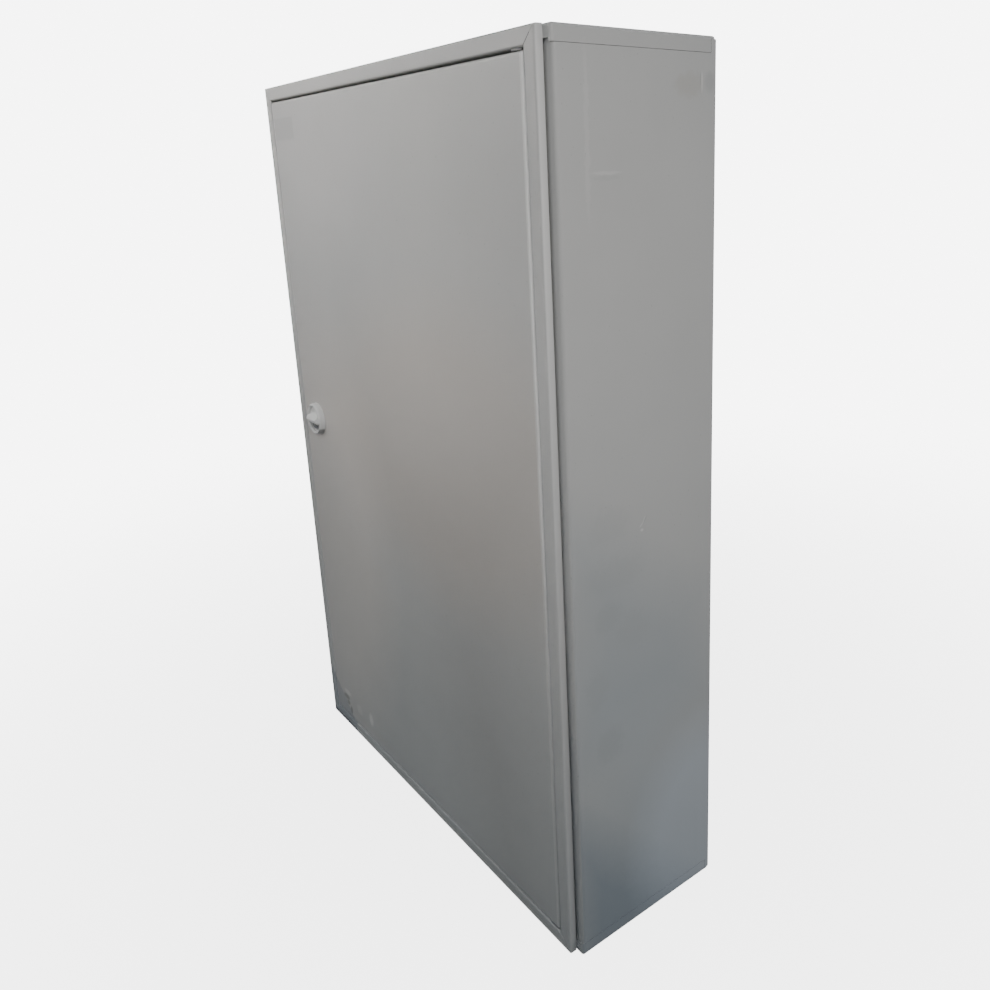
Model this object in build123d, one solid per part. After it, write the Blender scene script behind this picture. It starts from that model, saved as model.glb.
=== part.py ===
from build123d import *
import os

# Outdoor distribution board: a folded sheet-steel wall case with one inset door.
# Millimetres. The origin is the centre of the wall face, +Y points into the wall,
# +Z points up and the door faces -Y.

# Case
case_width = 500.0
case_height = 750.0
case_depth = 158.0
sheet = 1.5
bend_radius = 2.5
side_lap = 12.0
front_lap = 9.5
cap_seam = 0.3
case_flange = 18.0
case_flange_lip = 10.0

# Mitred front frame and the rebate that the door closes into
frame_inset = 9.0
frame_stand_off = 7.0
frame_face = 13.5
frame_rebate = 18.5
frame_seat = 14.0
frame_bend = 2.0
mitre_gap = 0.3

# Door
door_side_gap = 0.7
door_top_gap = 1.8
door_bottom_gap = 1.2
door_thickness = 15.0
door_lip = 9.0
door_bend = 2.5
gasket_width = 5.0
gasket_inset = 5.5
gasket_gap = 0.4
stiffener_width = 26.0
stiffener_height = 9.0
stiffener_foot = 12.0
stiffener_side_gap = 26.8
stiffener_end_gap = 160.0

# Corner pivot hinges
hinge_inset = 8.0
hinge_setback = 4.5
hinge_plate_width = 11.0
hinge_plate_depth = 16.0
hinge_play = 0.3
hinge_pin_radius = 2.0
hinge_pin_reach = 7.5
hinge_pin_head = 2.5
hinge_pin_head_height = 1.0
pin_fit = 0.08
fixed_fit = 0.03

# Quarter-turn wing latch
latch_setback = 35.9
latch_level = 21.7
bezel_radius = 18.0
bezel_height = 6.3
bezel_edge = 1.2
dish_radius = 14.6
dish_depth = 5.0
barrel_radius = 10.0
barrel_length = 15.0
spindle_radius = 6.0
spindle_play = 0.1
knob_play = 0.3
knob_disc = 1.8
wing_length = 27.0
wing_middle = 14.0
wing_tip = 3.6
wing_rise = 6.2
wing_ridge = 1.6
wing_slope = 2.0
spindle_square = 8.0
spindle_socket = 4.0
socket_fit = 0.05
cam_sheet = 2.5
cam_hub_radius = 10.0
cam_reach = 32.0
cam_arm_width = 15.0
cam_gap = 0.3
cam_stud_radius = 3.0
cam_stud_length = 8.0
cam_nut_flats = 10.0
cam_nut_height = 5.0
latch_nut_flats = 27.0
latch_nut_height = 5.0

# Frame brackets inside the case
bracket_sheet = 2.5
bracket_length = 30.0
bracket_leg = 30.0
bracket_end_gap = 95.0
frame_screw_radius = 2.5
frame_screw_head = 4.5
frame_screw_head_height = 2.4
hole_fit = 0.2

# Wall fixing holes
wall_hole_radius = 4.5
wall_hole_side_gap = 35.0
wall_hole_end_gap = 30.0

# Cable entry in the floor of the case
entry_length = 300.0
entry_width = 70.0
entry_margin = 15.0
gland_gasket_height = 2.0
gland_plate_sheet = 2.0
gland_stud_radius = 2.5
gland_stud_length = 13.0
gland_nut_flats = 8.0
gland_nut_height = 4.0
gland_hole_spacing = 58.0
middle_gland_radius = 16.2
side_gland_radius = 12.7
end_gland_radius = 10.2

# Mounting plate on four studs
plate_side_gap = 50.0
plate_end_gap = 55.0
plate_sheet = 2.0
plate_edge = 8.0
plate_stand_off = 18.5
plate_stud_radius = 3.0
plate_stud_length = 30.0
plate_stud_margin = 18.0
spacer_radius = 6.0
plate_nut_flats = 10.0
plate_nut_height = 5.0

# Mounting rails
rail_width = 35.0
rail_crown = 27.0
rail_depth = 7.5
rail_sheet = 1.0
rail_end_gap = 25.0
upper_rail_level = 130.0
lower_rail_level = -50.0
rail_screw_inset = 20.0
rail_screw_radius = 2.4
rail_screw_head = 4.0
rail_screw_head_height = 2.5
rail_screw_length = 7.0

# Rail-mounted switchgear
module_width = 17.6
module_pitch = 18.0
breaker_half_height = 41.0
breaker_shoulder = 44.0
breaker_nose = 60.0
breaker_nose_half = 22.5
breaker_nose_foot = 24.0
breaker_heel = 5.0
rail_grip = 0.8
rail_clearance = 0.2
rail_edge_clearance = 0.3
lever_axis_depth = 50.0
lever_drum_radius = 8.0
lever_clearance = 0.35
lever_slot_half = 13.0
lever_slot_floor = 41.2
lever_tip_depth = 70.0
lever_root = 7.0
lever_tip = 3.4
lever_rest_angle = 36.0
lever_width = 7.8
main_lever_width = 44.0
lever_pin_radius = 1.5
lever_pin_reach = 2.4
main_switch_count = 4
breaker_count = 6
terminal_level = 33.0
terminal_hole_radius = 3.0
terminal_hole_depth = 7.0
terminal_screw_radius = 2.8
terminal_screw_length = 4.5
terminal_slot = 0.9
wire_mouth_width = 8.0
wire_mouth_height = 9.0
wire_mouth_reach = 12.0
wire_mouth_depth = 24.0
clamp_width = 8.0
clamp_half_height = 23.0
clamp_front = 24.0
clamp_corner = 6.0

# Neutral and earth bars
bar_length = 200.0
bar_side = 9.0
bar_hole_margin = 23.0
bar_hole_count = 12
bar_hole_radius = 2.7
bar_screw_flats = 6.0
bar_screw_rise = 2.5
bar_post_side = 14.0
bar_post_height = 22.0
bar_post_inset = 8.0
bar_post_screw_end = 2.0
neutral_bar_rise = 150.0
earth_bar_rise = 90.0

# Earth studs
earth_stud_radius = 4.0
earth_stud_length = 24.0
earth_stud_side_gap = 32.0
earth_stud_end_gap = 75.0
earth_nut_flats = 13.0
earth_nut_height = 6.5
door_stud_radius = 3.0
door_stud_length = 14.0
door_stud_side_gap = 21.8
door_stud_end_gap = 35.3

# Sizes that follow from the driving dimensions
half_width = case_width / 2
half_height = case_height / 2
case_front = -case_depth
rear_reach = half_width - 2 * bend_radius
corner_reach = half_width - 2 * sheet
frame_front = case_front - frame_stand_off
frame_half = half_width - frame_inset
aperture_half_width = frame_half - frame_face
aperture_half_height = half_height - frame_face
seat_front = frame_front + frame_rebate
seat_back = seat_front + sheet
seat_half_width = aperture_half_width - frame_seat
door_half_width = aperture_half_width - door_side_gap
door_top = aperture_half_height - door_top_gap
door_bottom = door_bottom_gap - aperture_half_height
door_half_height = (door_top - door_bottom) / 2
door_level = (door_top + door_bottom) / 2
door_back = frame_front + door_thickness
door_inner = frame_front + sheet
hinge_x = door_half_width - hinge_inset
hinge_y = frame_front + hinge_setback
latch_x = -door_half_width + latch_setback
back_inner = -sheet
rear_notch = back_inner - 2 * bend_radius
floor_inner = -half_height + sheet
entry_y = -case_depth / 2
plate_front = back_inner - plate_stand_off - plate_sheet
rail_front = plate_front - rail_depth
bracket_level = half_height - bracket_end_gap
stiffener_level = door_half_height - stiffener_end_gap
plate_half_width = half_width - plate_side_gap
plate_half_height = half_height - plate_end_gap
neutral_bar_level = neutral_bar_rise - plate_half_height
earth_bar_level = earth_bar_rise - plate_half_height
bar_hole_pitch = (bar_length - 2 * bar_hole_margin) / (bar_hole_count - 1)
stud_x = plate_half_width - plate_stud_margin
stud_z = plate_half_height - plate_stud_margin
rail_half = plate_half_width - rail_end_gap
earth_stud_x = half_width - earth_stud_side_gap
earth_stud_level = earth_stud_end_gap - half_height
door_stud_x = door_half_width - door_stud_side_gap
door_stud_level = door_bottom + door_stud_end_gap


# Basic shapes placed by their limits

def block(x0, x1, y0, y1, z0, z1):
    """Rectangular block between two limits on each axis."""
    size = Box(abs(x1 - x0), abs(y1 - y0), abs(z1 - z0))
    return Pos((x0 + x1) / 2, (y0 + y1) / 2, (z0 + z1) / 2) * size


def rod_x(y, z, x0, x1, radius):
    return Pos((x0 + x1) / 2, y, z) * Rot(0, 90, 0) * Cylinder(radius, abs(x1 - x0))


def rod_y(x, z, y0, y1, radius):
    return Pos(x, (y0 + y1) / 2, z) * Rot(90, 0, 0) * Cylinder(radius, abs(y1 - y0))


def rod_z(x, y, z0, z1, radius):
    return Pos(x, y, (z0 + z1) / 2) * Cylinder(radius, abs(z1 - z0))


def hexagon_y(x, z, y0, y1, flats):
    """Hexagonal bar along Y, given across its flats."""
    face = Plane.XZ * RegularPolygon(flats / 2, 6, major_radius=False)
    return Pos(x, max(y0, y1), z) * extrude(face, abs(y1 - y0))


def hexagon_z(x, y, z0, z1, flats):
    """Hexagonal bar along Z, given across its flats."""
    face = RegularPolygon(flats / 2, 6, major_radius=False)
    return Pos(x, y, min(z0, z1)) * extrude(face, abs(z1 - z0))


def folded(points, radii, thickness, side):
    """Section of a folded sheet, thickened to one side of its outline."""
    outline = FilletPolyline(*points, radius=radii)
    return make_face(offset(outline, amount=thickness, side=side))


def along_x(section, x0, x1):
    """Section drawn as (y, z), run along X."""
    return Pos(x0, 0, 0) * extrude(Plane.YZ * section, x1 - x0)


def along_z(section, z0, z1):
    """Section drawn as (x, y), run along Z."""
    return Pos(0, 0, z0) * extrude(section, z1 - z0)


def group(solids):
    """Several like pieces kept as separate solids."""
    return Compound(children=[solid for piece in solids for solid in piece.solids()])


def pan(x_half, y0, y1, z0, z1, axis, radius):
    """Block with the face at the start of an axis, and its four corners, rounded."""
    body = block(-x_half, x_half, y0, y1, z0, z1)
    body = fillet(body.edges().filter_by(axis), radius)
    return fillet(body.faces().sort_by(axis)[0].edges(), radius)


# Case

def body_wrap():
    """Sides, back and front flanges folded from one sheet."""
    side = half_width
    front = case_front + sheet
    flange = side - case_flange
    lip = front + case_flange_lip
    outline = [
        (-flange, lip), (-flange, front), (-side, front), (-side, 0),
        (side, 0), (side, front), (flange, front), (flange, lip),
    ]
    section = folded(outline, bend_radius, sheet, Side.RIGHT)
    top = half_height - bend_radius
    wrap = along_z(section, -top, top)
    wrap += block(-rear_reach, rear_reach, back_inner, 0, -half_height, half_height)
    seam = half_height - side_lap - cap_seam
    for x in (-1, 1):
        for z in (-1, 1):
            wrap -= block(x * corner_reach, x * (side + 1), case_front, rear_notch,
                          z * seam, z * half_height)
    hole_x = half_width - wall_hole_side_gap
    hole_z = half_height - wall_hole_end_gap
    for x in (-hole_x, hole_x):
        for z in (-hole_z, hole_z):
            wrap -= rod_y(x, z, -2 * sheet, sheet, wall_hole_radius)
    return wrap


def end_cap():
    """Top sheet folded down level with the sides, over the front and inside the back."""
    cap = pan(half_width, case_front, back_inner, half_height - side_lap, half_height,
              -Axis.Z, bend_radius)
    cap -= pan(half_width - sheet, case_front + sheet, back_inner - sheet,
               -half_height, half_height - sheet, -Axis.Z, bend_radius - sheet)
    below = half_height - side_lap - 1
    cap -= block(-corner_reach, corner_reach, case_front - 1, case_front + bend_radius,
                 below, half_height - front_lap)
    for side in (-1, 1):
        cap -= block(side * rear_reach, side * (half_width + 1), rear_notch - cap_seam,
                     1, below, half_height - bend_radius)
    return cap


def top_cap():
    return end_cap()


def bottom_cap():
    cap = mirror(end_cap(), Plane.XY)
    return cap - block(-entry_length / 2, entry_length / 2, entry_y - entry_width / 2,
                       entry_y + entry_width / 2, -half_height - sheet, floor_inner + sheet)


# Front frame

def frame_strip(half_span, half_length):
    """Upright strip on the left, with its ends cut to the mitre."""
    face, rebate = frame_face, frame_rebate
    outline = [
        (0, frame_stand_off), (0, 0), (face, 0), (face, rebate), (face + frame_seat, rebate),
    ]
    section = folded(outline, [frame_bend, frame_bend, frame_bend - sheet], sheet, Side.LEFT)
    strip = along_z(Pos(-half_span, frame_front) * section, -half_length, half_length)
    shown = mitre_cut(half_span, half_length - mitre_gap / 2, frame_front, door_back)
    welded = mitre_cut(half_span, half_length, door_back, seat_back)
    return strip & (shown + welded)


def mitre_cut(half_span, half_length, y0, y1):
    """Block that leaves a strip on the left with 45 degree ends."""
    depth = frame_face + frame_seat + 1
    corners = [(0, half_length), (0, -half_length), (depth, depth - half_length),
               (depth, half_length - depth)]
    face = Plane.XZ * make_face(Polyline(*corners, close=True))
    return Pos(-half_span, y1, 0) * extrude(face, y1 - y0, dir=(0, -1, 0))


def side_strip():
    strip = frame_strip(frame_half, half_height)
    for z in (-bracket_level, bracket_level):
        strip -= rod_y(-bracket_x(), z, seat_front - sheet, seat_back + sheet,
                       frame_screw_radius + hole_fit)
    return strip


def frame_left():
    return side_strip()


def frame_right():
    return Rot(0, 180, 0) * side_strip()


def end_strip():
    strip = Rot(0, 90, 0) * frame_strip(half_height, frame_half)
    return strip - rod_z(hinge_x, hinge_y, aperture_half_height - sheet, half_height - sheet,
                         hinge_pin_radius + fixed_fit)


def frame_top():
    return end_strip()


def frame_bottom():
    return mirror(end_strip(), Plane.XY)


def bracket_x():
    """Distance of the frame screws from the middle."""
    return (seat_half_width + aperture_half_width - sheet) / 2


def frame_brackets():
    """Four angles on the side walls that take the frame screws."""
    wall = half_width - sheet
    pieces = []
    for side in (-1, 1):
        for z in (-bracket_level, bracket_level):
            low, high = z - bracket_length / 2, z + bracket_length / 2
            front_leg = block(side * seat_half_width, side * wall, seat_back,
                              seat_back + bracket_sheet, low, high)
            wall_leg = block(side * (wall - bracket_sheet), side * wall, seat_back,
                             seat_back + bracket_leg, low, high)
            hole = rod_y(side * bracket_x(), z, seat_back - 1, seat_back + bracket_sheet + 1,
                         frame_screw_radius + fixed_fit)
            pieces.append(front_leg + wall_leg - hole)
    return group(pieces)


def screw(x, z, y, radius, length, head_radius, head_height):
    """Cheese-head screw that enters along +Y, with its head seated at y."""
    return rod_y(x, z, y - head_height, y, head_radius) + rod_y(x, z, y, y + length, radius)


def frame_screws():
    """Screws put in from inside the case, flush with the seat of the frame."""
    back = seat_back + bracket_sheet
    turned = Rot(0, 0, 180) * screw(0, 0, -back, frame_screw_radius, back - seat_front,
                                    frame_screw_head, frame_screw_head_height)
    return group([
        Pos(side * bracket_x(), 0, z) * turned
        for side in (-1, 1) for z in (-bracket_level, bracket_level)
    ])


# Hinges

def hinge_plate(gap):
    """Lug in the slot past the end of the door, welded to the frame and holding the pin."""
    y0 = frame_front + frame_bend / 4
    plate = block(hinge_x - hinge_plate_width / 2, hinge_x + hinge_plate_width / 2,
                  y0, y0 + hinge_plate_depth, aperture_half_height - gap + hinge_play,
                  aperture_half_height)
    plate = fillet(plate.edges().filter_by(Axis.Z), 1.5)
    return plate - rod_z(hinge_x, hinge_y, 0, half_height, hinge_pin_radius + fixed_fit)


def upper_hinge_plate():
    return hinge_plate(door_top_gap)


def lower_hinge_plate():
    return mirror(hinge_plate(door_bottom_gap), Plane.XY)


def hinge_pin(gap):
    """Headed pin through the frame and lug into the folded edge of the door."""
    seat = aperture_half_height + sheet
    end = aperture_half_height - gap - hinge_pin_reach
    pin = rod_z(hinge_x, hinge_y, end, seat, hinge_pin_radius)
    head = rod_z(hinge_x, hinge_y, seat, seat + hinge_pin_head_height, hinge_pin_head)
    pin = chamfer(pin.faces().sort_by(Axis.Z)[0].edges(), 0.6)
    return pin + head


def upper_hinge_pin():
    return hinge_pin(door_top_gap)


def lower_hinge_pin():
    return mirror(hinge_pin(door_bottom_gap), Plane.XY)


# Door

def door_panel():
    """Pan folded from one sheet, with four returns and narrow back lips."""
    panel = pan(door_half_width, frame_front, door_back, door_bottom, door_top,
                Axis.Y, door_bend)
    panel -= pan(door_half_width - sheet, door_inner, door_back - sheet, door_bottom + sheet,
                 door_top - sheet, Axis.Y, door_bend - sheet)
    mouth_x = door_half_width - door_lip
    panel -= block(-mouth_x, mouth_x, door_back - 2 * sheet, 0, door_bottom + door_lip,
                   door_top - door_lip)
    panel -= rod_y(latch_x, latch_level, frame_front - 1, door_inner + 1, barrel_radius + hole_fit)
    return panel - rod_z(hinge_x, hinge_y, -half_height, half_height, hinge_pin_radius + pin_fit)


def door_stiffener(level):
    """Hat-section bar across the inside of the door skin."""
    foot = stiffener_width / 2 + stiffener_foot
    crown = stiffener_width / 2
    base = door_inner
    top = base + stiffener_height - sheet
    outline = [
        (base, -foot), (base, -crown + sheet), (top, -crown + 2 * sheet),
        (top, crown - 2 * sheet), (base, crown - sheet), (base, foot),
    ]
    section = folded(outline, sheet / 2, sheet, Side.RIGHT)
    reach = door_half_width - stiffener_side_gap
    return Pos(0, 0, level) * along_x(section, -reach, reach)


def door_stiffener_upper():
    return door_stiffener(stiffener_level)


def door_stiffener_lower():
    return door_stiffener(-stiffener_level)


def ring(x_half, z_half, y0, y1, width):
    """Rectangular ring round the door, measured to its outside."""
    outer = block(-x_half, x_half, y0, y1, -z_half, z_half)
    inner = block(width - x_half, x_half - width, y0 - 1, y1 + 1, width - z_half, z_half - width)
    return outer - inner


def door_gasket():
    """Foam strip on the back lips that meets the seat of the frame."""
    foam = ring(door_half_width - gasket_inset, door_half_height - gasket_inset, door_back,
                seat_front - gasket_gap, gasket_width)
    return Pos(0, 0, door_level) * foam


def door_earth_stud():
    return rod_y(door_stud_x, door_stud_level, door_inner, door_inner + door_stud_length,
                 door_stud_radius)


# Latch

def latch_bezel():
    """Round escutcheon with a dish in front and a clamping barrel behind."""
    front = bezel_height
    points = [
        (0, -barrel_length), (barrel_radius, -barrel_length), (barrel_radius, 0),
        (bezel_radius, 0), (bezel_radius - bezel_edge / 2, front - bezel_edge),
        (bezel_radius - bezel_edge * 1.5, front), (dish_radius + bezel_edge, front),
        (dish_radius, front - bezel_edge), (dish_radius, front - dish_depth),
        (0, front - dish_depth),
    ]
    profile = Plane.XZ * make_face(Polyline(*points, close=True))
    body = revolve(profile, Axis.Z)
    body -= Cylinder(spindle_radius + spindle_play, 4 * barrel_length)
    return Pos(latch_x, frame_front, latch_level) * Rot(90, 0, 0) * body


def latch_nut():
    """Flat nut that clamps the barrel to the door skin."""
    nut = hexagon_y(latch_x, latch_level, door_inner, door_inner + latch_nut_height, latch_nut_flats)
    return nut - rod_y(latch_x, latch_level, frame_front, 0, barrel_radius + fixed_fit)


knob_base = frame_front - bezel_height + dish_depth - knob_play
knob_face = knob_base - knob_disc
cam_front = seat_back + cam_gap


def wing():
    """Lens-shaped grip with blunt ends, its long faces sloping in towards the front."""
    half, middle, tip = wing_length / 2, wing_middle / 2, wing_tip / 2
    lower = ThreePointArc((-half, -tip), (0, -middle), (half, -tip))
    upper = ThreePointArc((half, tip), (0, middle), (-half, tip))
    edges = [lower, Line((half, -tip), (half, tip)), upper, Line((-half, tip), (-half, -tip))]
    lens = extrude(make_face(edges), wing_rise, dir=(0, 0, 1))
    roof = [(-middle, 0), (middle, 0), (wing_ridge / 2, wing_rise), (-wing_ridge / 2, wing_rise)]
    slopes = along_x(make_face(Polyline(*roof, close=True)), -half, half)
    ends = [(-half, 0), (half, 0), (half - wing_slope, wing_rise), (wing_slope - half, wing_rise)]
    run_out = extrude(Plane.XZ * make_face(Polyline(*ends, close=True)), middle, both=True)
    return lens & slopes & run_out


def latch_knob():
    """Disc that turns in the dish, with a wing across it."""
    disc = rod_y(latch_x, latch_level, knob_face, knob_base, dish_radius - 2 * knob_play)
    grip = Pos(latch_x, knob_face, latch_level) * Rot(90, 0, 0) * wing()
    half_square = spindle_square / 2 + socket_fit
    socket = block(latch_x - half_square, latch_x + half_square, knob_base + 1,
                   knob_base - spindle_socket, latch_level - half_square, latch_level + half_square)
    return disc + grip - socket


def latch_spindle():
    """Spindle from the knob to the cam, square at both ends and threaded for the nut."""
    half_square = spindle_square / 2
    cam_seat = cam_front + cam_sheet - 0.2
    square = block(latch_x - half_square, latch_x + half_square, knob_base - spindle_socket + 0.2,
                   cam_seat, latch_level - half_square, latch_level + half_square)
    barrel = rod_y(latch_x, latch_level, knob_base, cam_front, spindle_radius)
    stud = rod_y(latch_x, latch_level, cam_seat, cam_seat + cam_stud_length, cam_stud_radius)
    return square + barrel + stud


def latch_cam():
    """Flat tongue, hanging down while the latch is open."""
    hub = Circle(cam_hub_radius)
    half_arm = cam_arm_width / 2
    length = cam_reach - half_arm
    arm = Pos(0, -length / 2) * Rectangle(cam_arm_width, length)
    tip = Pos(0, -length) * Circle(half_arm)
    flats = spindle_square + 2 * socket_fit
    outline = hub + arm + tip - Rectangle(flats, flats)
    cam = extrude(outline, cam_sheet)
    return Pos(latch_x, cam_front + cam_sheet, latch_level) * Rot(90, 0, 0) * cam


def cam_nut():
    front = cam_front + cam_sheet
    nut = hexagon_y(latch_x, latch_level, front, front + cam_nut_height, cam_nut_flats)
    return nut - rod_y(latch_x, latch_level, front - 1, 0, cam_stud_radius + fixed_fit)


# Cable entry

def gland_stud_places():
    reach_x = (entry_length + entry_margin) / 2
    reach_y = (entry_width + entry_margin) / 2
    return [(x, entry_y + y) for x in (-reach_x, 0, reach_x) for y in (-reach_y, reach_y)]


def entry_sheet(z0, z1):
    half_x = entry_length / 2 + entry_margin
    half_y = entry_width / 2 + entry_margin
    plate = block(-half_x, half_x, entry_y - half_y, entry_y + half_y, z0, z1)
    for x, y in gland_stud_places():
        plate -= rod_z(x, y, z0 - 1, z1 + 1, gland_stud_radius + hole_fit)
    return plate


def gland_gasket():
    top = floor_inner + gland_gasket_height
    seal = entry_sheet(floor_inner, top)
    return seal - block(-entry_length / 2, entry_length / 2, entry_y - entry_width / 2,
                        entry_y + entry_width / 2, floor_inner - 1, top + 1)


def gland_plate():
    """Plate with five round cable holes."""
    bottom = floor_inner + gland_gasket_height
    top = bottom + gland_plate_sheet
    plate = entry_sheet(bottom, top)
    radii = [end_gland_radius, side_gland_radius, middle_gland_radius,
             side_gland_radius, end_gland_radius]
    for step, radius in zip(range(-2, 3), radii):
        plate -= rod_z(step * gland_hole_spacing, entry_y, bottom - 1, top + 1, radius)
    return plate


def gland_studs():
    return group([rod_z(x, y, floor_inner, floor_inner + gland_stud_length, gland_stud_radius)
                  for x, y in gland_stud_places()])


def gland_nuts():
    seat = floor_inner + gland_gasket_height + gland_plate_sheet
    return group([
        hexagon_z(x, y, seat, seat + gland_nut_height, gland_nut_flats)
        - rod_z(x, y, seat - 1, seat + gland_nut_height + 1, gland_stud_radius + fixed_fit)
        for x, y in gland_stud_places()
    ])


# Mounting plate

def plate_corners():
    return [(x, z) for x in (-stud_x, stud_x) for z in (-stud_z, stud_z)]


def mounting_plate():
    """Plate with its two long edges folded back."""
    half = plate_half_width
    back = plate_front + plate_sheet + plate_edge
    outline = [(-half, back), (-half, plate_front), (half, plate_front), (half, back)]
    section = folded(outline, bend_radius, plate_sheet, Side.LEFT)
    plate = along_z(section, -plate_half_height, plate_half_height)
    for x, z in plate_corners():
        plate -= rod_y(x, z, plate_front - 1, back, plate_stud_radius + hole_fit)
    for x, z in rail_screw_places() + bar_post_places():
        plate -= rod_y(x, z, plate_front - 1, back, rail_screw_radius + fixed_fit)
    return plate


def plate_studs():
    return group([rod_y(x, z, back_inner, back_inner - plate_stud_length, plate_stud_radius)
                  for x, z in plate_corners()])


def plate_spacers():
    seat = plate_front + plate_sheet
    return group([rod_y(x, z, back_inner, seat, spacer_radius)
                  - rod_y(x, z, 0, seat - 1, plate_stud_radius + fixed_fit)
                  for x, z in plate_corners()])


def plate_nuts():
    return group([
        hexagon_y(x, z, plate_front - plate_nut_height, plate_front, plate_nut_flats)
        - rod_y(x, z, 0, plate_front - plate_nut_height - 1, plate_stud_radius + fixed_fit)
        for x, z in plate_corners()
    ])


# Mounting rails

def rail_screw_places():
    half = rail_half - rail_screw_inset
    return [(x, z) for z in (upper_rail_level, lower_rail_level) for x in (-half, half)]


def mounting_rail(level):
    """Top-hat rail with its crown on the plate and its edges to the front."""
    edge, crown = rail_width / 2, rail_crown / 2
    outline = [
        (rail_front, -edge), (rail_front, -crown + rail_sheet),
        (plate_front - rail_sheet, -crown + rail_sheet), (plate_front - rail_sheet, crown - rail_sheet),
        (rail_front, crown - rail_sheet), (rail_front, edge),
    ]
    section = folded(outline, rail_sheet / 2, rail_sheet, Side.RIGHT)
    rail = Pos(0, 0, level) * along_x(section, -rail_half, rail_half)
    for x, z in rail_screw_places():
        if z == level:
            rail -= rod_y(x, z, plate_front - 2 * rail_sheet, plate_front + 1,
                          rail_screw_radius + fixed_fit)
    return rail


def upper_rail():
    return mounting_rail(upper_rail_level)


def lower_rail():
    return mounting_rail(lower_rail_level)


def rail_screws():
    return group([
        screw(x, z, plate_front - rail_sheet, rail_screw_radius, rail_screw_length,
              rail_screw_head, rail_screw_head_height)
        for x, z in rail_screw_places()
    ])


# Switchgear on the rails, drawn as (depth in front of the rail, height)

def rail_seat():
    """Undercut recess that clips over the edges of a rail."""
    edge = rail_width / 2
    grip = edge - rail_grip
    wide = edge + rail_edge_clearance
    hook = -rail_sheet - rail_clearance
    deep = -breaker_heel - 1
    corners = [(deep, -grip), (hook, -grip), (hook, -wide), (rail_clearance, -wide),
               (rail_clearance, wide), (hook, wide), (hook, grip), (deep, grip)]
    return make_face(Polyline(*corners, close=True))


def on_rail(section, width):
    """Section run sideways across the given width, facing -Y at rail height zero."""
    body = along_x(mirror(section, Plane.YZ), -width / 2, width / 2)
    return Pos(0, rail_front, 0) * body


def breaker_housing(modules, bar_width):
    """Moulded housing with a nose, clipped on the rail."""
    h, s, n, f = breaker_half_height, breaker_shoulder, breaker_nose, breaker_nose_foot
    corners = [(-breaker_heel, -h), (s, -h), (s, -f), (n, -breaker_nose_half),
               (n, breaker_nose_half), (s, f), (s, h), (-breaker_heel, h)]
    section = make_face(Polyline(*corners, close=True)) - rail_seat()
    width = modules * module_pitch - (module_pitch - module_width)
    housing = on_rail(section, width)
    half_slot = bar_width / 2 + lever_clearance
    housing -= block(-half_slot, half_slot, rail_front - lever_slot_floor, rail_front - n - 1,
                     -lever_slot_half, lever_slot_half)
    reach = half_slot + lever_pin_reach + lever_clearance
    housing -= rod_x(rail_front - lever_axis_depth, 0, -reach, reach, lever_pin_radius + pin_fit)
    for x in module_places(modules):
        for z in (-terminal_level, terminal_level):
            housing -= rod_y(x, z, rail_front - s + terminal_hole_depth, rail_front - s - 1,
                             terminal_hole_radius)
            side = 1 if z > 0 else -1
            mouth_y = rail_front - wire_mouth_depth
            housing -= block(x - wire_mouth_width / 2, x + wire_mouth_width / 2,
                             mouth_y - wire_mouth_height / 2, mouth_y + wire_mouth_height / 2,
                             side * (h - wire_mouth_reach), side * (h + 1))
    return housing


def module_places(modules):
    return [(step - (modules - 1) / 2) * module_pitch for step in range(modules)]


def breaker_lever(bar_width):
    """Toggle on its pivot, pointing down in the off position."""
    y = rail_front - lever_axis_depth
    half = bar_width / 2
    drum = rod_x(y, 0, -half, half, lever_drum_radius)
    reach = lever_tip_depth - lever_axis_depth
    root, tip = lever_root / 2, lever_tip / 2
    arm = make_face(Polyline((0, -root), (-reach, -tip), (-reach, tip), (0, root), close=True))
    arm = Rot(lever_rest_angle, 0, 0) * along_x(arm, -half, half)
    pins = rod_x(y, 0, -half - lever_pin_reach, half + lever_pin_reach, lever_pin_radius)
    return drum + Pos(0, y, 0) * arm + pins


main_switch_x = -rail_half / 2
first_breaker_x = main_switch_x - module_pitch


def main_switch_housing():
    return Pos(main_switch_x, 0, upper_rail_level) * breaker_housing(main_switch_count,
                                                                     main_lever_width)


def main_switch_lever():
    return Pos(main_switch_x, 0, upper_rail_level) * breaker_lever(main_lever_width)


def breaker_place(index):
    return Pos(first_breaker_x + index * module_pitch, 0, lower_rail_level)


def terminal_screws():
    """Slotted clamping screws, sunk in the shoulders of the switchgear."""
    places = [(main_switch_x + x, upper_rail_level) for x in module_places(main_switch_count)]
    places += [(first_breaker_x + i * module_pitch, lower_rail_level) for i in range(breaker_count)]
    floor = rail_front - breaker_shoulder + terminal_hole_depth
    top = floor - terminal_screw_length
    screws = []
    for x, rail_z in places:
        for z in (rail_z - terminal_level, rail_z + terminal_level):
            screw = rod_y(x, z, top, floor, terminal_screw_radius)
            screws.append(screw - block(x - terminal_screw_radius, x + terminal_screw_radius, top - 1,
                                        top + terminal_slot, z - terminal_slot / 2,
                                        z + terminal_slot / 2))
    return group(screws)


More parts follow.
